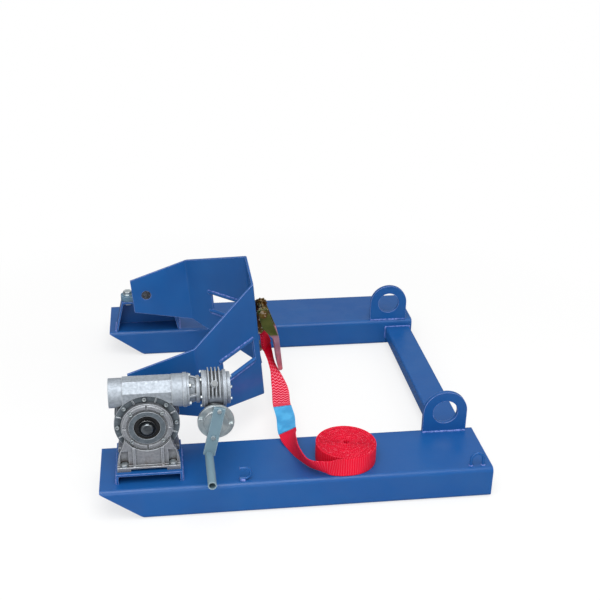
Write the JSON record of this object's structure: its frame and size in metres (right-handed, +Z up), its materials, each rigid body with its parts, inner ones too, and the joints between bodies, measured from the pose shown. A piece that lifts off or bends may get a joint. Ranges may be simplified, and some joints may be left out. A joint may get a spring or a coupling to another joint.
{
  "type": "fork mounted drum tipper",
  "caption": "Blue steel fork-truck drum tipper: pocket frame, folded drum cradle on a cross axis, crank-driven worm gearbox, pillow bearing and red ratchet strap.",
  "frame": {"origin": "middle of the floor under the overall box", "axes": "+X towards the truck end of the fork pockets, +Y across from the gearbox side to the pillow block side, +Z up"},
  "size_m": [1, 1.213, 0.4331],
  "materials": {
    "frame_paint": "blue gloss paint on steel",
    "cradle_paint": "blue gloss paint on steel plate",
    "cast_aluminium": "as-cast aluminium",
    "cover_aluminium": "darker cast aluminium",
    "foot_casting": "bare casting with brown stains",
    "zinc_steel": "zinc plated steel",
    "bright_steel": "machined steel",
    "crank_paint": "grey paint on steel",
    "block_paint": "pale grey paint on cast iron",
    "seal_rubber": "black nitrile rubber",
    "bronze": "bronze",
    "buckle_zinc": "yellow chromated zinc",
    "webbing": "woven red polyester",
    "plug_plastic": "dark plastic"
  },
  "bodies": {
    "frame": {"near_fork_pocket": "frame_paint", "far_fork_pocket": "frame_paint", "rear_tube": "frame_paint", "near_lug": "frame_paint", "far_lug": "frame_paint", "tie_hook": "frame_paint", "tie_staple": "frame_paint", "near_stand": "frame_paint", "far_stand": "frame_paint", "gearbox_housing": "cast_aluminium", "near_cover": "cover_aluminium", "far_cover": "cover_aluminium", "near_foot": "foot_casting", "far_foot": "foot_casting", "worm_end_cap": "cast_aluminium", "cover_screws": "zinc_steel", "foot_screws": "zinc_steel", "foot_bolts": "zinc_steel", "foot_nuts": "zinc_steel", "output_bearings": "bright_steel", "output_seals": "seal_rubber", "worm_bearings": "bright_steel", "bell": "cast_aluminium", "bell_screws": "zinc_steel", "stage_housing": "cast_aluminium", "stage_cover": "cast_aluminium", "stage_screws": "zinc_steel", "input_bearings": "bright_steel", "input_seal": "seal_rubber", "filler_plug": "plug_plastic", "pillow_block": "block_paint", "pillow_insert": "bronze", "block_bolts": "zinc_steel", "block_washers": "zinc_steel", "block_nuts": "zinc_steel", "webbing_coil": "webbing", "webbing_tail": "webbing"},
    "cradle": {"cradle_shell": "cradle_paint", "strap_guides": "cradle_paint", "near_shaft": "bright_steel", "shaft_key": "bright_steel", "hollow_shaft": "bright_steel", "worm_wheel": "bronze", "far_pin": "bright_steel", "anchor_bar": "cradle_paint", "webbing_loop": "webbing", "ratchet_frame": "buckle_zinc", "anchor_bolt": "buckle_zinc"},
    "worm": {"main_worm": "bright_steel", "stage_wheel": "bronze"},
    "crank": {"stage_worm": "bright_steel", "crank_disc": "zinc_steel", "crank_arm": "crank_paint", "crank_handle": "crank_paint", "crank_bolts": "zinc_steel"},
    "buckle_handle": {"ratchet_handle": "buckle_zinc"},
    "buckle_pawl": {"handle_pawl": "buckle_zinc"},
    "spool": {"spool": "buckle_zinc", "ratchet_wheels": "buckle_zinc"},
    "lock": {"lock_pawl": "buckle_zinc"}
  },
  "joints": [
    {"name": "cradle_tilt", "type": "hinge", "parent": "frame", "child": "cradle", "pos_m": [-0.3755, 0.0605, 0.232], "axis": [0, -1, 0], "range_deg": [-15, 180], "deforming": ["webbing_tail"]},
    {"name": "main_worm_spin", "type": "hinge", "parent": "frame", "child": "worm", "pos_m": [-0.3755, -0.3815, 0.307], "axis": [1, 0, 0], "range_deg": [-225, 2700]},
    {"name": "crank_turn", "type": "hinge", "parent": "frame", "child": "crank", "pos_m": [-0.208, -0.3815, 0.259], "axis": [0, -1, 0], "range_deg": [-1575, 18900]},
    {"name": "buckle_handle_swing", "type": "hinge", "parent": "cradle", "child": "buckle_handle", "pos_m": [-0.04075, 0.0605, 0.31066], "axis": [0, -1, 0], "range_deg": [0, 150]},
    {"name": "buckle_pawl_slide", "type": "slide", "parent": "buckle_handle", "child": "buckle_pawl", "axis": [-0.2622, 0, 0.965], "range_m": [0, 0.0025]},
    {"name": "spool_turn", "type": "hinge", "parent": "cradle", "child": "spool", "pos_m": [-0.04075, 0.0605, 0.31066], "axis": [0, -1, 0], "continuous": true},
    {"name": "lock_slide", "type": "slide", "parent": "cradle", "child": "lock", "axis": [-0.0906, 0, 0.9959], "range_m": [0, 0.0025]}
  ],
  "couplings": [
    {"joint": "main_worm_spin", "follows": "cradle_tilt", "ratio": 15},
    {"joint": "crank_turn", "follows": "cradle_tilt", "ratio": 105}
  ]
}
